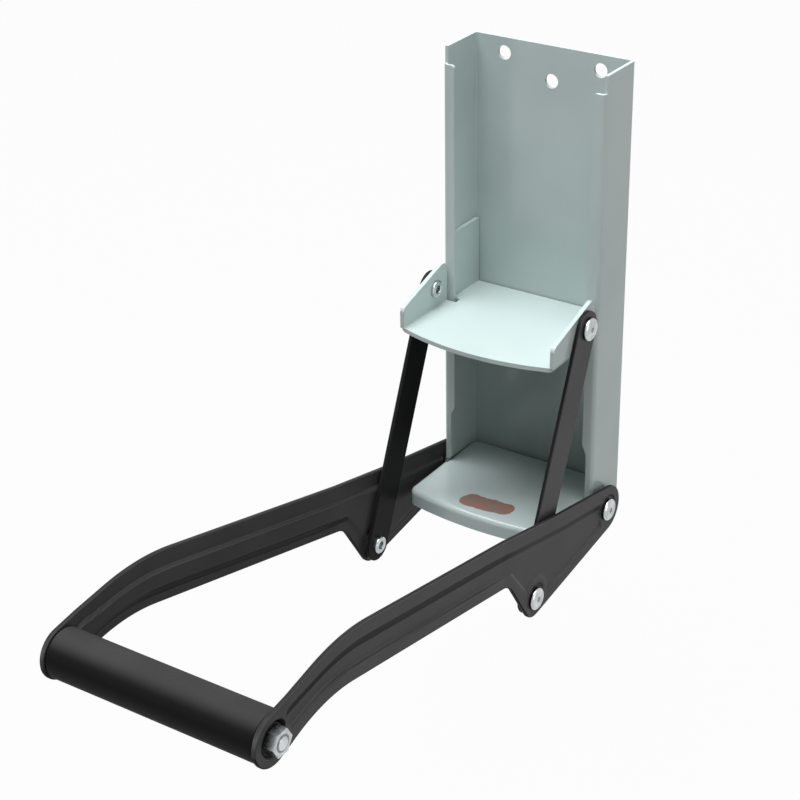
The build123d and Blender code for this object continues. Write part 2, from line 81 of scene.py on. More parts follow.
# %% [markdown]
# ## Where things turn
# Three pins run through each arm and one through each ear of the ram. Their places in the side
# view, as Y and Z in millimetres, are needed by the zinc, whose marks are rings about a pin, and
# by the arms, whose round ends and holes stand about them.

# %% Places of the pins
PIVOT = (-18.7, -5.5)
LOBE = (-84.5, -18.0)
HANDLE = (-282.5, 35.4)
RAM_PIN = (-37.8, 94.6)
print("lever", round(math.dist(PIVOT, HANDLE), 1), "mm from pivot to handle")

# %% [markdown]
# ## Writing materials as sums
# A Blender material is a net of nodes. Wiring each one by hand hides what is being worked out, so
# a small class wraps one socket of the net. Plus, minus and times on it add Math nodes, which
# lets a mask be written as a formula. Its one method, node, makes any other kind of node
# from its type, its settings and its inputs.

# %% The socket wrapper
class Wire:
    """One output in a net of nodes, which Python's operators can reckon with."""

    def __init__(self, tree, out):
        self.tree = tree
        self.out = out

    def node(self, kind, settings, inputs, output=0):
        """Any node: its settings are set first, then its inputs are given values or links."""
        made = self.tree.nodes.new(kind)
        for name, value in settings.items():
            setattr(made, name, value)
        for key, value in inputs.items():
            if isinstance(value, Wire):
                self.tree.links.new(value.out, made.inputs[key])
            else:
                made.inputs[key].default_value = value
        return Wire(self.tree, made.outputs[output])

    def sum_of(self, operation, first, second=0.0, clamp=False):
        settings = {"operation": operation, "use_clamp": clamp}
        return self.node("ShaderNodeMath", settings, {0: first, 1: second})

    def __add__(self, other): return self.sum_of("ADD", self, other)
    def __radd__(self, other): return self.sum_of("ADD", other, self)
    def __sub__(self, other): return self.sum_of("SUBTRACT", self, other)
    def __rsub__(self, other): return self.sum_of("SUBTRACT", other, self)
    def __mul__(self, other): return self.sum_of("MULTIPLY", self, other)
    def __rmul__(self, other): return self.sum_of("MULTIPLY", other, self)


def step(value, low, high):
    """A soft step: 0 below low, 1 above high, and a smooth rise between them."""
    settings = {"interpolation_type": "SMOOTHSTEP"}
    return value.node("ShaderNodeMapRange", settings, {0: value, 1: low, 2: high, 3: 0.0, 4: 1.0})


def blend(mask, first, second):
    """A colour that goes from the first to the second as the mask goes from 0 to 1."""
    return mask.node("ShaderNodeMix", {"data_type": "RGBA"}, {0: mask, 6: first, 7: second}, 2)


def grain(place, per_metre, detail=3.0):
    """Cloudy noise about 0.5, with that many blobs to the metre."""
    inputs = {"Vector": place, "Scale": per_metre, "Detail": detail, "Roughness": 0.55}
    return place.node("ShaderNodeTexNoise", {}, inputs)


def raised(height, strength, depth):
    """A bump whose height is the given value times a depth in metres."""
    inputs = {"Strength": strength, "Distance": depth, "Height": height}
    return height.node("ShaderNodeBump", {}, inputs)


def parts_of(place):
    """The three coordinates of a place, each as a number."""
    split = place.node("ShaderNodeSeparateXYZ", {}, {0: place})
    return [Wire(split.tree, out) for out in split.out.node.outputs]


def length_of(first, second):
    """Length of a flat arrow: the square root of the sum of its two squared parts."""
    squares = first * first + second * second
    return squares.sum_of("SQRT", squares)


def size_of(value):
    """A number without its sign, such as how far a point lies to either side of the middle."""
    return value.sum_of("ABSOLUTE", value)


def mesh_mask(place, name):
    """A mask that a mesh carries at each of its points; 0 on a mesh that has none."""
    return place.node("ShaderNodeAttribute", {"attribute_name": name}, {}, 2)


# %% [markdown]
# ## Starting a finish
# Each finish starts from one Principled shader. What is the same all over a surface is set on the
# shader's own sockets. The patterns read Object coordinates, which are metres in the frame,
# because every piece has its place in its mesh, so a grain keeps its real size on every piece.

# %% A new finish
def new_finish(name, **constants):
    """A material with its shader's constants set; gives it, its shader and the place on it."""
    material = bpy.data.materials.new(name)
    material.use_nodes = True
    tree = material.node_tree
    shader = tree.nodes["Principled BSDF"]
    for socket, value in constants.items():
        shader.inputs[socket.replace("_", " ")].default_value = value
    place = Wire(tree, tree.nodes.new("ShaderNodeTexCoord").outputs["Object"])
    return material, shader, place


def drive(shader, socket, wire):
    wire.tree.links.new(wire.out, shader.inputs[socket])


def wear_finish(names, material):
    """Puts a finish on frame pieces, through their material slots."""
    for name in names:
        nodes[name].material_slots[0].material = material


# %% [markdown]
# ## Grey-green enamel
# The channel, the ram and the base plate are sprayed with a pale grey-green enamel and stoved. The
# real coat is smooth and half glossy, with the faint ripple that painters call orange peel, here
# about a millimetre and a half across, and its colour drifts slightly over the sheet where the
# coat is thicker. A slow noise drifts the colour, a finer one the gloss, and a bump of some ten
# microns makes the peel.

# %% The enamel
ENAMEL_PALE = (0.475, 0.560, 0.540, 1)
ENAMEL_DEEP = (0.425, 0.508, 0.488, 1)


def enamel(name):
    """Half glossy stoved paint with a drifting colour and orange peel."""
    material, shader, place = new_finish(name, Specular_IOR_Level=0.5)
    drift = step(grain(place, 14.0, 2.0), 0.35, 0.65)
    speck = step(grain(place, 900.0, 1.0), 0.66, 0.74)
    colour = blend(drift, ENAMEL_DEEP, ENAMEL_PALE)
    colour = blend(speck * 0.25, colour, ENAMEL_PALE)
    drive(shader, "Base Color", colour)
    drive(shader, "Roughness", 0.15 + 0.08 * grain(place, 40.0))
    peel = grain(place, 650.0, 1.0) + 0.3 * grain(place, 2200.0, 1.0)
    drive(shader, "Normal", raised(peel, 0.35, 0.00002))
    return material, shader, place, colour


channel_enamel = enamel("channel_enamel")[0]
print("channel finish", channel_enamel.name)

# %% [markdown]
# ## The base plate's plain patch
# The plate carries one small brown patch, longer than it is wide. It is kept bare. It is worked
# out as a mask in the plate's own plane: the distance from a short line, made uneven by a noise,
# then cut off softly at the patch's half width.

# %% The base plate's enamel with its patch
PATCH_BROWN = (0.235, 0.165, 0.140, 1)
PATCH_RUST = (0.285, 0.150, 0.122, 1)
PATCH_FROM = (-8.6 * MM, -53.1 * MM)
PATCH_TO = (8.0 * MM, -52.4 * MM)
PATCH_HALF_WIDTH = 5.2 * MM
PATCH_SOFT = 0.4 * MM
PATCH_UNEVEN = 3.6 * MM

plate_enamel, plate_shader, plate_place, plate_colour = enamel("plate_enamel")
along_x, along_y, along_z = parts_of(plate_place)
reach = along_x.node("ShaderNodeClamp", {}, {0: along_x, 1: PATCH_FROM[0], 2: PATCH_TO[0]})
lean = (PATCH_TO[1] - PATCH_FROM[1]) / (PATCH_TO[0] - PATCH_FROM[0])
off_x = along_x - reach
off_y = along_y - (PATCH_FROM[1] + (reach - PATCH_FROM[0]) * lean)
uneven = (grain(plate_place, 130.0, 2.0) - 0.5) * PATCH_UNEVEN
off_line = length_of(off_x, off_y) + uneven
patch = 1.0 - step(off_line, PATCH_HALF_WIDTH - PATCH_SOFT, PATCH_HALF_WIDTH + PATCH_SOFT)
patch = patch * step(along_z, -0.6 * MM, -0.3 * MM) * (1.0 - step(along_z, 5 * MM, 9 * MM))
brown = blend(step(grain(plate_place, 90.0, 2.0), 0.4, 0.6), PATCH_BROWN, PATCH_RUST)
drive(plate_shader, "Base Color", blend(patch, plate_colour, brown))
print("patch", round((PATCH_TO[0] - PATCH_FROM[0] + 2 * PATCH_HALF_WIDTH) / MM, 1), "mm long")

# %% [markdown]
# ## Black powder coat
# The levers and the links are coated with a black powder that melts into a tough film. It is duller
# than the enamel and has a fine, even pebble of about a third of a millimetre. The pebble is a
# bump, and the same noise makes the gloss uneven, as the tops of the pebbles are rubbed smoother.
# A mask of painted shade darkens the black and takes the sheen off on walls that face down, on
# faces that look steeply up, on inner faces and cut edges and on the grip's sides: the sheen is a
# coat over a matt black. A second mask, of painted light, pales the walls that face up at a slant.
# Both masks belong to the surface and move with it. They give more contrast than plain light would.

# %% The powder coat
DRIFT_SHARE = 1.2
# The second share is how far painted light pales the walls that face up.
PAINTED_LIGHT_SHARE = 1.9


def shade(colour, share):
    """A colour with each part times a share."""
    return tuple(share * part for part in colour[:3]) + (1,)


def powder_coat(name, colour, rough, pebble, depth, sheen, painted_shade, deep):
    """Black film with an even pebble, so many to the metre and so many metres deep.

    The argument after sheen gives the mask of painted shade from the place, and deep is the share
    of the colour left under that painted shade. sheen is the weight of the glossy coat elsewhere."""
    material, shader, place = new_finish(name, Specular_IOR_Level=0.03, Coat_Roughness=rough)
    pebbles = grain(place, pebble, 2.0)
    drift = step(grain(place, 25.0, 2.0), 0.35, 0.65)
    # The mask is painted shade: it darkens the colour and takes the sheen off.
    mask = painted_shade(place)
    ground = blend(drift, colour, shade(colour, DRIFT_SHARE))
    # The mesh's second mask is painted light, which pales the walls that face up.
    ground = blend(mesh_mask(place, "painted_light"), ground, shade(colour, PAINTED_LIGHT_SHARE))
    drive(shader, "Base Color", blend(mask, ground, shade(colour, deep)))
    drive(shader, "Roughness", rough + 0.12 * (0.5 - pebbles))
    drive(shader, "Coat Weight", (1.0 - mask) * (sheen + 0.15 * (pebbles - 0.5)))
    drive(shader, "Normal", raised(pebbles, 0.5, depth))
    return material


def from_mesh(place):
    """The mask of painted shade that a mesh carries."""
    return mesh_mask(place, "painted_shade")


def inner_of_link(place):
    """Painted shade on a link's inner face and cut edges: 1 there, 0 on its outer face."""
    from_middle = size_of(parts_of(place)[0])
    return 1.0 - step(from_middle, 41.0 * MM, 41.4 * MM)


# %% The lever's and the links' black, the grip's foam, and the washers' painted shade
BLACK = (0.045, 0.044, 0.044, 1)
GRIP_BLACK = (0.028, 0.028, 0.028, 1)
# Painted shade: the handle's two washers are coloured near black for the dark ring round the nut.
WASHER_SHADE_BLACK = (0.012, 0.012, 0.012, 1)
lever_coat = powder_coat("lever_powder_coat", BLACK, 0.38, 2600.0, 0.00003, 0.22, from_mesh, 0.04)
link_coat = powder_coat("link_powder_coat", BLACK, 0.34, 2600.0, 0.00002, 0.26, inner_of_link, 0.35)
grip_foam = powder_coat("grip_foam", GRIP_BLACK, 0.60, 1800.0, 0.00005, 0.10, from_mesh, 0.35)
washer_painted_shade = powder_coat("washer_painted_shade", WASHER_SHADE_BLACK, 0.45, 2600.0, 0.00002, 0.12, from_mesh, 1.0)
print("black finishes", lever_coat.name, link_coat.name, grip_foam.name, washer_painted_shade.name)

# %% [markdown]
# ## Bright zinc
# Rivets, bushes, most washers and the handle's bolt and nut are zinc plated steel. The plating is a
# pale metal with cloudy patches. A rivet's head is struck by a tool whose small pip leaves a
# dimple in the middle; the dimple, and a ring round the bolt's end, get painted shade. So does the
# low part of a head's flank, next to the black coat, as painted shade and a painted reflection of
# that coat. Both are worked out from where a point lies: how far it is from the rivet's axis,
# which runs along X, and how high it stands on the head. The two washers under the bolt's head
# and nut are coloured near black, as painted shade round the nut.

# %% Cloudy plating
ZINC_DULL = (0.44, 0.47, 0.48, 1)
ZINC_BRIGHT = (0.64, 0.67, 0.68, 1)
ZINC_PAINTED_SHADE = (0.05, 0.055, 0.058, 1)
DIMPLE = (0.4, 1.1)
BOLT_RING = (2.9, 3.5)


def cloudy_zinc(name):
    """Pale metal with cloudy patches; gives the material, its shader, the place and colour."""
    material, shader, place = new_finish(name, Metallic=1.0)
    cloud = step(grain(place, 260.0, 3.0), 0.35, 0.7)
    colour = blend(cloud, ZINC_DULL, ZINC_BRIGHT)
    drive(shader, "Roughness", 0.20 + 0.16 * grain(place, 700.0))
    return material, shader, place, colour


def headed_zinc(name, centre, low_x, high_x, ring):
    """Plating with painted shade low on the flank up to a height, and painted shade in a ring about an
    axis, in mm.
    """
    material, shader, place, colour = cloudy_zinc(name)
    along_x, along_y, along_z = parts_of(place)
    away = length_of(along_y - centre[0] * MM, along_z - centre[1] * MM)
    height = size_of(along_x)
    foot = step(height, (low_x - 1.1) * MM, (low_x - 1.0) * MM)
    flank = foot * (1.0 - step(height, low_x * MM, high_x * MM))
    inside = step(away, (ring[0] - 0.3) * MM, ring[0] * MM)
    mark = inside * (1.0 - step(away, ring[1] * MM, (ring[1] + 0.3) * MM))
    # Painted shade on the flank and in the ring; on the flank it also stands for a painted reflection
    # of the black coat.
    dark = flank + 0.7 * mark
    drive(shader, "Base Color", blend(dark, colour, ZINC_PAINTED_SHADE))
    lines = (away * 9000.0).sum_of("SINE", away * 9000.0)
    drive(shader, "Normal", raised(0.25 * lines - 1.2 * mark + grain(place, 1500.0), 0.5, 0.00003))
    return material


def wear_pair(name, material):
    wear_finish([name + "_left", name + "_right"], material)


zinc, zinc_shader, zinc_place, zinc_colour = cloudy_zinc("bright_zinc")
drive(zinc_shader, "Base Color", zinc_colour)
drive(zinc_shader, "Normal", raised(grain(zinc_place, 1500.0, 2.0), 0.25, 0.00002))
STEEL_NODES = [name for name in nodes if "rivet" in name or "washer" in name or "bush" in name]
wear_finish(STEEL_NODES + ["grip_tube", "handle_bolt", "handle_nut"], zinc)
wear_pair("pivot_rivet", headed_zinc("pivot_rivet_zinc", PIVOT, 44.8, 45.5, DIMPLE))
wear_pair("lobe_rivet", headed_zinc("lobe_rivet_zinc", LOBE, 44.7, 45.4, DIMPLE))
wear_pair("ram_rivet", headed_zinc("ram_rivet_zinc", RAM_PIN, 42.2, 42.9, DIMPLE))
nut_zinc = headed_zinc("nut_zinc", HANDLE, 49.9, 50.9, BOLT_RING)
wear_finish(["handle_nut", "handle_bolt"], nut_zinc)
wear_pair("handle_washer", washer_painted_shade)
print("zinc on", len(STEEL_NODES) + 3 - 2, "frame pieces, black on 2 washers")

# %% [markdown]
# ## Softening the cut edges
# A punched and painted sheet has no knife edge: the punch rounds one side and the paint the other.
# A CAD piece's edges are perfectly sharp, and light shows nothing on them. So each sheet piece is
# copied, its loose triangles are welded, triangles that lie in one plane are joined to whole
# faces, and a Bevel modifier rolls each sharp edge by a fraction of a millimetre. The copy stands
# for the frame's own piece, which stays underneath for collision.

# %% Sheet pieces with softened edges
def softened(name, body, material, edge):
    """A welded copy of a frame piece whose sharp edges are rolled by a radius in metres."""
    mesh = nodes[name].data.copy()
    work = bmesh.new()
    work.from_mesh(mesh)
    bmesh.ops.remove_doubles(work, verts=work.verts, dist=1e-6)
    bmesh.ops.dissolve_limit(
        work, angle_limit=math.radians(0.6), verts=work.verts, edges=work.edges)
    work.to_mesh(mesh)
    work.free()
    mesh.materials.clear()
    mesh.materials.append(material)
    mesh.shade_smooth()
    piece = bpy.data.objects.new(name + "_painted", mesh)
    bpy.context.scene.collection.objects.link(piece)
    roll = piece.modifiers.new("rolled edge", "BEVEL")
    roll.width = edge
    roll.segments = 3
    roll.limit_method = "ANGLE"
    roll.angle_limit = math.radians(35)
    roll.harden_normals = True
    even = piece.modifiers.new("faces stay even", "WEIGHTED_NORMAL")
    even.weight = 100
    even.keep_sharp = True
    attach(piece, body)
    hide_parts(name)
    print(piece.name, len(mesh.polygons), "faces before its edges are rolled")
    return piece


softened("channel_body", "wall_frame", channel_enamel, 0.30 * MM)
softened("base_plate", "wall_frame", plate_enamel, 0.30 * MM)
softened("crusher_ram", "ram", channel_enamel, 0.35 * MM)
for side in ("left", "right"):
    softened("link_" + side, "links", link_coat, 0.25 * MM)

# %% [markdown]
# ## Drawing an arm's side view
# Each lever arm is a strip of 2 mm steel, blanked to a side view and pressed. Its outline is a
# few straight runs blended by arcs between round ends, so two helpers are enough: one gives the
# points of an arc, and one replaces each corner of a run by its blend.

# %% Arcs and blended runs
def arc(centre, radius, start, end, count):
    """Points at equal angles, in degrees, on a circle about a centre."""
    angle = np.radians(np.linspace(start, end, count))
    return np.stack([centre[0] + radius * np.cos(angle), centre[1] + radius * np.sin(angle)], 1)


def heading(start, end):
    """Direction from one point to another, in degrees."""
    return math.degrees(math.atan2(end[1] - start[1], end[0] - start[0]))


def blended(points, radii, count=24):
    """A run of straight lines whose inner corners are arcs tangent to both lines.

    An arc of radius r in a corner of half angle h starts r / tan(h) from the corner, and its
    centre is r / sin(h) along the line that halves it."""
    points = np.array(points, float)
    pieces = [points[:1]]
    for before, corner, after, radius in zip(points, points[1:], points[2:], radii):
        to_before = (before - corner) / np.linalg.norm(before - corner)
        to_after = (after - corner) / np.linalg.norm(after - corner)
        half = math.acos(np.clip(to_before @ to_after, -1, 1)) / 2
        middle = to_before + to_after
        centre = corner + middle / np.linalg.norm(middle) * radius / math.sin(half)
        start = heading(centre, corner + to_before * radius / math.tan(half))
        turn = (heading(centre, corner + to_after * radius / math.tan(half)) - start + 180) % 360 - 180
        pieces.append(arc(centre, radius, start, start + turn, count))
    return np.concatenate(pieces + [points[-1:]])


def touching_angle(centre, radius, outside, side):
    """Direction, in degrees, at which a line from an outside point touches a circle."""
    away = math.dist(centre, outside)
    return heading(centre, outside) + side * math.degrees(math.acos(radius / away))


# %% [markdown]
# ## The two edges of an arm
# The outline is split into an upper and a lower edge, each running from the handle's end to the
# pivot's end, so that at any station along the arm both heights can be read off. The lobe that
# drives the link hangs from the lower edge.

# %% The upper and lower edge
PIVOT_RADIUS = 11.4
LOBE_RADIUS = 9.0
HANDLE_RADIUS = 11.2
KNEE = (-76.0, 17.5)
SHOULDER = (-237.0, 54.0)
NECK = (-252.0, 33.5)
VALLEY = (-107.5, 1.0)
KNEE_BLEND, SHOULDER_BLEND = 80, 100
NECK_BLEND, VALLEY_BLEND = 80, 12

top_leave = touching_angle(HANDLE, HANDLE_RADIUS, SHOULDER, 1)
top_meet = touching_angle(PIVOT, PIVOT_RADIUS, KNEE, -1)
upper_edge = np.concatenate([
    arc(HANDLE, HANDLE_RADIUS, 180, top_leave, 60),
    blended([arc(HANDLE, HANDLE_RADIUS, top_leave, top_leave, 1)[0], SHOULDER, KNEE,
             arc(PIVOT, PIVOT_RADIUS, top_meet, top_meet, 1)[0]], [SHOULDER_BLEND, KNEE_BLEND], 60),
    arc(PIVOT, PIVOT_RADIUS, top_meet, 0, 60)])

low_leave = touching_angle(HANDLE, HANDLE_RADIUS, NECK, -1) % 360
lobe_meet = touching_angle(LOBE, LOBE_RADIUS, VALLEY, 1)
foot_lean = heading(LOBE, PIVOT) - math.degrees(
    math.acos((LOBE_RADIUS - PIVOT_RADIUS) / math.dist(LOBE, PIVOT)))
lower_edge = np.concatenate([
    arc(HANDLE, HANDLE_RADIUS, 180, low_leave, 60),
    blended([arc(HANDLE, HANDLE_RADIUS, low_leave, low_leave, 1)[0], NECK, VALLEY,
             arc(LOBE, LOBE_RADIUS, lobe_meet, lobe_meet, 1)[0]], [NECK_BLEND, VALLEY_BLEND], 40),
    arc(LOBE, LOBE_RADIUS, lobe_meet, 360 + foot_lean, 60),
    arc(PIVOT, PIVOT_RADIUS, 360 + foot_lean, 360, 60)])
arm_outline = np.concatenate([upper_edge, lower_edge[::-1]])
arm_length = float(np.ptp(arm_outline[:, 0]))
print("arm outline of", len(arm_outline), "points,", round(arm_length, 1), "mm long")

# %% [markdown]
# ## The pressed panel
# The press pushes the middle of each arm inwards by a little over a millimetre, which stiffens
# it. The panel keeps a rim of about 8 mm above and 5 mm below, and stops short of the three round
# ends. Beside the link it is shallower, to leave the link room.

# %% The panel's outline
panel_outline = blended([
    (-60.0, 5.6), (-76.0, 9.1), (-237.0, 45.6), (-274.5, 41.8), (-274.5, 32.8), (-247.0, 38.5),
    (-105.5, 6.0), (-92.0, -11.0), (-82.0, -21.6), (-25.0, -12.6), (-25.0, -0.8), (-60.0, 5.6)],
    [KNEE_BLEND, SHOULDER_BLEND, 3.4, 3.4, NECK_BLEND, 4, 1, 2, 3, 3], 12)
print("panel outline of", len(panel_outline), "points")


# %% [markdown]
# ## How far a point is from a line
# The panel's walls, the rolled edges and the rings all depend on how far a point lies from a line
# in the side view. These helpers work on whole arrays of points at once. The last one turns such
# a distance into a smooth rise.

# %% Distances in the side view
def run_distance(run, y, z):
    """Distance from each point to the nearest of a run's straight pieces.

    Along a piece the nearest place is the point's shadow on it, kept between its two ends."""
    start, way = run[:-1], np.diff(run, axis=0)
    keep = (way ** 2).sum(1) > 1e-12
    start, way = start[keep], way[keep]
    off_y, off_z = y[..., None] - start[:, 0], z[..., None] - start[:, 1]
    share = np.clip((off_y * way[:, 0] + off_z * way[:, 1]) / (way ** 2).sum(1), 0, 1)
    return np.hypot(off_y - share * way[:, 0], off_z - share * way[:, 1]).min(-1)


def is_inside(run, y, z):
    """Whether a level line drawn from each point crosses a closed run an odd number of times."""
    (y0, z0), (y1, z1) = run[:-1].T, run[1:].T
    level = (z0 > z[..., None]) != (z1 > z[..., None])
    rise = np.where(z1 == z0, 1.0, z1 - z0)
    crossing = y0 + (z[..., None] - z0) * (y1 - y0) / rise
    return (level & (y[..., None] < crossing)).sum(-1) % 2 == 1


def smooth_step(value, low, high):
    """0 below low, 1 above high, and 3t^2 - 2t^3 between them, where t is the share of the way."""
    share = np.clip((value - low) / (high - low), 0, 1)
    return share * share * (3 - 2 * share)


# %% [markdown]
# ## An arm's grid
# The arm is a grid. Stations run along it, closer together round its ends and its lobe, and rows
# run from the lower edge to the upper one, closer together near both, where the cut edge rolls
# over. A point's depth is then a sum of what the press did there: the arm's splay towards the
# handle, the panel, the round seats under the rivets and the dish under the nut.

# %% The grid of an arm
ARM_OUTER, ARM_INNER = 44.5, 42.5
PANEL_DEPTH, PANEL_DEEPER = 0.7, 0.6
PANEL_DEEPENS = (98, 135)
PANEL_OFF_LOBE = 10.0
SPLAY, SPLAY_FROM, SPLAY_TO = 6.7, -112.0, -272.5
EDGE_ROLL = 0.55
NEAR_EDGE = np.array([0, 0.05, 0.15, 0.3, 0.5, 0.75, 1.1])


def arm_grid():
    """Side-view places of the grid: stations along the arm by rows across it."""
    turn = np.radians(np.linspace(0, 90, 34))
    stations = np.concatenate([
        HANDLE[0] - HANDLE_RADIUS * np.cos(turn), PIVOT[0] + PIVOT_RADIUS * np.cos(turn),
        LOBE[0] - LOBE_RADIUS * np.cos(turn[:24]), np.arange(HANDLE[0], PIVOT[0], 0.6)])
    stations = np.unique(np.round(stations, 2))
    upper = np.interp(stations, upper_edge[:, 0], upper_edge[:, 1])
    lower = np.interp(stations, np.maximum.accumulate(lower_edge[:, 0]), lower_edge[:, 1])
    height = (upper - lower)[:, None]
    squeeze = np.minimum(1, height / (2.6 * NEAR_EDGE[-1]))
    middle = np.linspace(0, 1, 40)[1:-1]
    rows = np.concatenate([
        NEAR_EDGE * squeeze,
        NEAR_EDGE[-1] * squeeze + (height - 2 * NEAR_EDGE[-1] * squeeze) * middle,
        height - NEAR_EDGE[::-1] * squeeze], 1)
    return np.broadcast_to(stations[:, None], rows.shape), lower[:, None] + rows


def pressed_depth(y, z, top_wall, low_wall):
    """How far the sheet is pushed inwards: a soft-walled panel, deeper away from the link.

    The two walls' half widths differ: the press rounds the edge that the sheet is drawn over."""
    inside = np.where(is_inside(panel_outline, y, z), 1, -1) * run_distance(panel_outline, y, z)
    about_lobe = np.hypot(y - LOBE[0], z - LOBE[1]) - PANEL_OFF_LOBE
    inside = np.minimum(inside, about_lobe)
    upper = np.interp(y, upper_edge[:, 0], upper_edge[:, 1])
    wall = low_wall + (top_wall - low_wall) * smooth_step(14 - (upper - z), -3, 3)
    depth = PANEL_DEPTH + PANEL_DEEPER * smooth_step(-y, *PANEL_DEEPENS)
    return depth * smooth_step(inside, -wall, wall)


def sunk(y, z, centre, radius, wall, depth):
    """A round sinking with a soft wall, from its depth inside to nothing outside."""
    away = np.hypot(y - centre[0], z - centre[1])
    return depth * (1 - smooth_step(away, radius - wall, radius + wall))


grid_y, grid_z = arm_grid()
print("arm grid of", grid_y.shape[0], "stations by", grid_y.shape[1], "rows")

# %% [markdown]
# ## From the grid to a closed sheet
# The same grid is used twice, for the outer and the inner skin of the sheet. Both roll in towards
# each other near the outline, as a quarter round of the distance to it, and a strip of faces joins
# their two outlines. Grid squares that lie in a rivet's or bolt's hole are left out, the points
# round them are drawn onto the hole's circle, and strips of faces line the holes.

# %% The two skins
OUTER_WALLS = (2.7, 0.5)
INNER_WALLS = (0.7, 2.4)
SEAT = (6.8, 0.35, 0.4)
DISH = (7.1, 0.5, 2.2)
BOSS = (8.6, 0.5, 2.2)


def skins(y, z):
    """Outer and inner distance from the middle plane, in mm, at each grid point.

    Seats, dish and boss are round sinkings, each with its radius, its wall and its depth."""
    share = np.clip((SPLAY_FROM - y) / (SPLAY_FROM - SPLAY_TO), 0, 1)
    away = np.clip(run_distance(np.concatenate([arm_outline, arm_outline[:1]]), y, z), 0, EDGE_ROLL)
    roll = EDGE_ROLL - np.sqrt(np.maximum(EDGE_ROLL ** 2 - (EDGE_ROLL - away) ** 2, 0))
    outer_press, inner_press = pressed_depth(y, z, *OUTER_WALLS), pressed_depth(y, z, *INNER_WALLS)
    seats = sunk(y, z, PIVOT, *SEAT) + sunk(y, z, LOBE, *SEAT)
    dish, boss = sunk(y, z, HANDLE, *DISH), sunk(y, z, HANDLE, *BOSS)
    outer = ARM_OUTER + SPLAY * share - outer_press - seats - dish - roll
    inner = ARM_INNER + SPLAY * share - inner_press - boss + roll
    return outer, inner


HOLES = ((PIVOT, 2.65), (LOBE, 2.6), (HANDLE, 3.2))


def bored(y, z):
    """Marks grid squares inside a hole and draws the points round them onto its circle."""
    y, z = y.copy(), z.copy()
    gone = np.zeros((y.shape[0] - 1, y.shape[1] - 1), bool)
    for centre, radius in HOLES:
        mid_y = (y[:-1, :-1] + y[1:, :-1] + y[:-1, 1:] + y[1:, 1:]) / 4 - centre[0]
        mid_z = (z[:-1, :-1] + z[1:, :-1] + z[:-1, 1:] + z[1:, 1:]) / 4 - centre[1]
        hole = np.hypot(mid_y, mid_z) < radius
        gone |= hole
        around = np.pad(hole, 1)
        touched = np.stack([around[:-1, :-1], around[1:, :-1], around[:-1, 1:], around[1:, 1:]])
        rim = touched.any(0) & ~touched.all(0)
        way_y, way_z = y[rim] - centre[0], z[rim] - centre[1]
        away = np.hypot(way_y, way_z)
        y[rim] = centre[0] + way_y * radius / away
        z[rim] = centre[1] + way_z * radius / away
    return y, z, gone


def strips(number, gone):
    """Pairs of neighbouring points that lie on an edge of the kept squares."""
    kept = np.pad(~gone, 1)
    along = np.argwhere(kept[1:-1, :-1] != kept[1:-1, 1:])
    across = np.argwhere(kept[:-1, 1:-1] != kept[1:, 1:-1])
    first = np.concatenate([number[along[:, 0], along[:, 1]], number[across[:, 0], across[:, 1]]])
    second = np.concatenate([number[along[:, 0] + 1, along[:, 1]],
                             number[across[:, 0], across[:, 1] + 1]])
    return first, second


# %% [markdown]
# ## Painted shade and painted light on the black coat
# The two masks of the black coat, painted shade and painted light, are written on each mesh,
# point by point, from which way the surface faces there. They are set to give a depth of tone
# that the lamps don't give.

# %% Masks from which way a point faces
def arm_tones(up, inward):
    """An arm's masks: painted shade on walls that face down, painted light on walls that face up.

    Faces that look steeply up, and the inner face a little, get painted shade too."""
    shaded = smooth_step(-up, 0.06, 0.22) + 0.6 * smooth_step(up, 0.6, 0.9)
    shaded = np.maximum(shaded, 0.28 * smooth_step(inward, 0.4, 0.8))
    return shaded, smooth_step(up, 0.10, 0.30) - smooth_step(up, 0.45, 0.65)


def grip_tones(up, inward):
    """The grip's masks: painted shade on the foam's sides, less along its top and its underside."""
    return smooth_step(-up, -0.92, -0.55) - 0.6 * smooth_step(-up, -0.3, 0.2), 0 * up


# %% [markdown]
# ## From points to a closed piece
# A grid's end stations can shrink to a single point, and a mirror turns faces inside out. So each
# mesh has its doubles merged first and its normals worked out again after that.

# %% A closed piece on its body
def closed_piece(name, points, faces, material, body, stands_for, tones):
    """A mesh from points in metres and faces, merged, turned outwards and put on its body.

    tones gives the two masks of a point, painted shade and painted light, from how far it faces up
    and how far it faces towards the object's middle, each from -1 to 1."""
    mesh = bpy.data.meshes.new(name)
    mesh.from_pydata(points, [], faces)
    work = bmesh.new()
    work.from_mesh(mesh)
    bmesh.ops.remove_doubles(work, verts=work.verts, dist=2e-6)
    bmesh.ops.dissolve_degenerate(work, edges=work.edges, dist=1e-7)
    bmesh.ops.recalc_face_normals(work, faces=work.faces)
    open_edges = sum(not edge.is_manifold for edge in work.edges)
    work.normal_update()
    upward = np.array([vertex.normal.z for vertex in work.verts])
    inward = np.array([-math.copysign(vertex.normal.x, vertex.normal.x * vertex.co.x)
                       for vertex in work.verts])
    work.to_mesh(mesh)
    work.free()
    # The two masks written on each point are painted shade and painted light.
    for mask_name, values in zip(("painted_shade", "painted_light"), tones(upward, inward)):
        mesh.attributes.new(mask_name, "FLOAT", "POINT").data.foreach_set("value", values)
    mesh.materials.append(material)
    mesh.shade_smooth()
    piece = bpy.data.objects.new(name, mesh)
    bpy.context.scene.collection.objects.link(piece)
    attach(piece, body)
    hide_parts(*stands_for)
    print(name, len(mesh.polygons), "faces,", open_edges, "open edges")
    return piece


# %% [markdown]
# ## Two arms from one grid
# The left arm is the right one seen in a mirror, so both come from one set of points and one list
# of faces, and only the sign of X differs.

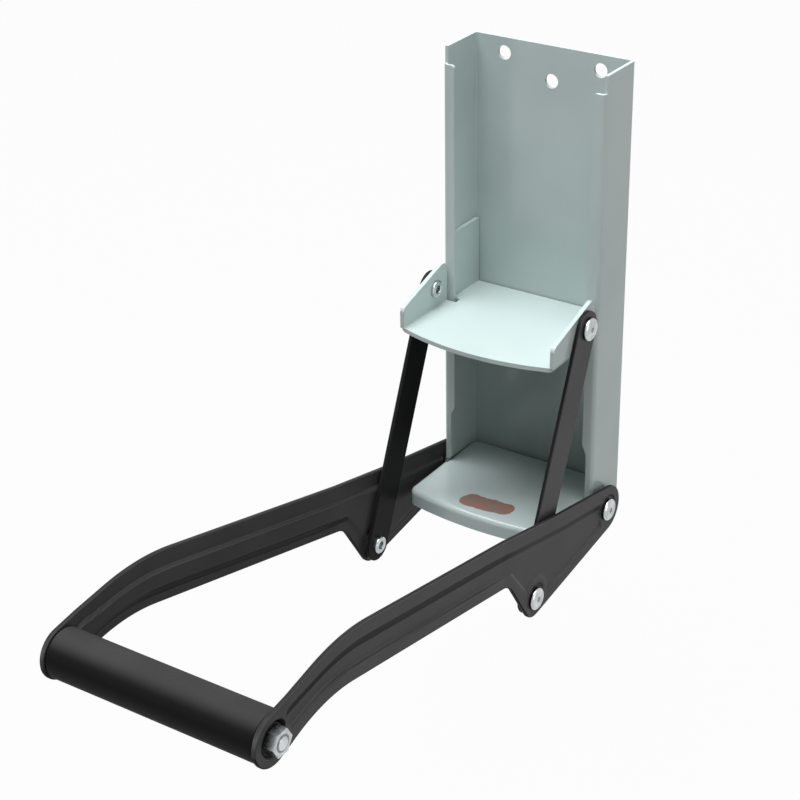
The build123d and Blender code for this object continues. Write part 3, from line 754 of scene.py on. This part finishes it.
# %% Make the arms
bored_y, bored_z, gone_squares = bored(grid_y, grid_z)
outer_x, inner_x = skins(bored_y, bored_z)
count = outer_x.size
number = np.arange(count).reshape(outer_x.shape)
squares = np.stack([number[:-1, :-1], number[1:, :-1], number[1:, 1:], number[:-1, 1:]], -1)
squares = squares[~gone_squares]
first, second = strips(number, gone_squares)
arm_faces = np.concatenate([
    squares, squares + count, np.stack([first, second, second + count, first + count], 1)])
for side, sign in (("left", -1), ("right", 1)):
    arm_points = np.concatenate([
        np.stack([sign * x.ravel(), bored_y.ravel(), bored_z.ravel()], 1)
        for x in (outer_x, inner_x)]) * MM
    closed_piece("lever_arm_" + side + "_pressed", arm_points.tolist(), arm_faces.tolist(),
                 lever_coat, "lever", ["lever_arm_" + side], arm_tones)

# %% [markdown]
# ## The grip
# The grip is a foam tube pushed over a steel one. It is a lathe shape: a profile of distances
# from the axis, turned about a line along X. The foam is squeezed by the washers at its ends, so
# its ends roll over softly and its outside swells by a hair just behind them.

# %% The lathe
def turned(profile, centre, rings=96):
    """Points and faces of a closed profile of (x, radius) pairs in mm, turned about X."""
    angle = np.linspace(0, 2 * np.pi, rings, endpoint=False)[:, None]
    x, radius = np.array(profile, float).T
    points = np.stack([
        np.broadcast_to(x, (rings, len(x))), centre[0] + radius * np.cos(angle),
        centre[1] + radius * np.sin(angle)], -1)
    number = np.arange(rings * len(x)).reshape(rings, len(x))
    round_on, along_on = np.roll(number, -1, 0), np.roll(number, -1, 1)
    faces = np.stack([number, round_on, np.roll(round_on, -1, 1), along_on], -1)
    return points.reshape(-1, 3) * MM, faces.reshape(-1, 4)


# %% The grip's foam sleeve
TUBE_RADIUS = 5.0
MOUTH_RADIUS, MOUTH_DEPTH = 9.1, 2.9
END_ROLL = 0.9
FOAM_RADIUS = 10.44

grip_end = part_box("grip_sleeve")[1].x / MM
mouth = grip_end - MOUTH_DEPTH
roll = np.radians(np.linspace(0, 90, 9))
half_profile = np.concatenate([
    [[mouth, TUBE_RADIUS], [mouth, MOUTH_RADIUS], [grip_end - 0.2, MOUTH_RADIUS], [grip_end, 9.3]],
    np.stack([grip_end - END_ROLL + END_ROLL * np.cos(roll), 9.58 + END_ROLL * np.sin(roll)], 1),
    [[grip_end - 3, 10.49], [grip_end - 9, 10.46], [grip_end - 20, FOAM_RADIUS]]])
grip_profile = np.concatenate([
    half_profile, [[0, FOAM_RADIUS]], half_profile[::-1] * [-1, 1],
    np.stack([np.linspace(-mouth + 5, mouth - 5, 8), np.full(8, TUBE_RADIUS)], 1)])
grip_points, grip_faces = turned(grip_profile, HANDLE)
closed_piece("grip_sleeve_foam", grip_points.tolist(), grip_faces.tolist(), grip_foam, "lever",
             ["grip_sleeve"], grip_tones)

# %% [markdown]
# ## The floor, the world and the lamps
# The crusher hangs on a wall, and the photograph shows it alone on plain white. A plain floor lies
# below the lowest place that the lever reaches. What the camera sees of the floor and the world is
# mostly plain white, through Light Path. The light on the crusher is apart from that: a weak even
# world, one large soft lamp above, and a small one on the right, which lifts the channel's side
# wall. Faces that look up come out paler than their colour is written, and upright ones darker.

# %% The floor
FLOOR_LEVEL = -120.0 * MM
FLOOR_REACH = 4.0
FLOOR_GLOW = 0.97
floor_mesh = bpy.data.meshes.new("floor")
floor_mesh.from_pydata(
    [(x * FLOOR_REACH, y * FLOOR_REACH, FLOOR_LEVEL) for x, y in ((-1, -1), (1, -1), (1, 1), (-1, 1))],
    [], [(0, 1, 2, 3)])
floor = bpy.data.objects.new("floor", floor_mesh)
bpy.context.scene.collection.objects.link(floor)


def seen_directly(tree):
    """1 for rays that show the background: from the camera, in a gloss or through glass."""
    path = tree.nodes.new("ShaderNodeLightPath")
    camera_ray = Wire(tree, path.outputs["Is Camera Ray"])
    glossy_ray = Wire(tree, path.outputs["Is Glossy Ray"])
    through_ray = Wire(tree, path.outputs["Is Transmission Ray"])
    return camera_ray.sum_of("ADD", camera_ray + glossy_ray, through_ray, clamp=True)


floor_white, floor_shader, floor_place = new_finish(
    "floor_white", Roughness=0.9, Specular_IOR_Level=0.0, Base_Color=(0.25, 0.25, 0.25, 1))
floor_mesh.materials.append(floor_white)
floor_tree = floor_white.node_tree
glow = floor_place.node("ShaderNodeEmission", {}, {"Color": (1, 1, 1, 1), "Strength": 1.0})
shown = floor_place.node("ShaderNodeMixShader", {}, {
    0: seen_directly(floor_tree) * FLOOR_GLOW, 1: Wire(floor_tree, floor_shader.outputs[0]), 2: glow})
floor_tree.links.new(shown.out, floor_tree.nodes["Material Output"].inputs["Surface"])
print("floor at", FLOOR_LEVEL, "m")

# %% The world and the lamps
WORLD_LEVEL = 0.13
TOP_POWER, RIGHT_POWER = 41.5, 4.4
world = bpy.data.worlds.new("studio")
bpy.context.scene.world = world
world.use_nodes = True
world_tree = world.node_tree
sky = world_tree.nodes["Background"]
sky.inputs["Color"].default_value = (1, 1, 1, 1)
level = WORLD_LEVEL + (1 - WORLD_LEVEL) * seen_directly(world_tree)
world_tree.links.new(level.out, sky.inputs["Strength"])


def soft_lamp(name, place, aim, size, power):
    """A square lamp of a side in metres, aimed at a point."""
    data = bpy.data.lights.new(name, "AREA")
    data.shape = "SQUARE"
    data.size = size
    data.energy = power
    lamp = bpy.data.objects.new(name, data)
    lamp.location = place
    lamp.rotation_mode = "QUATERNION"
    lamp.rotation_quaternion = (Vector(aim) - Vector(place)).to_track_quat("-Z", "Y")
    bpy.context.scene.collection.objects.link(lamp)
    return lamp


soft_lamp("top_lamp", (-0.15, -0.26, 1.45), (0, -0.1, 0.05), 1.2, TOP_POWER).data.color = (1, 1, 1.035)
soft_lamp("right_lamp", (1.3, -0.3, 0.35), (0, -0.1, 0.1), 0.8, RIGHT_POWER)
bpy.context.scene.view_settings.view_transform = "Standard"
print("world at", WORLD_LEVEL, "with two lamps")
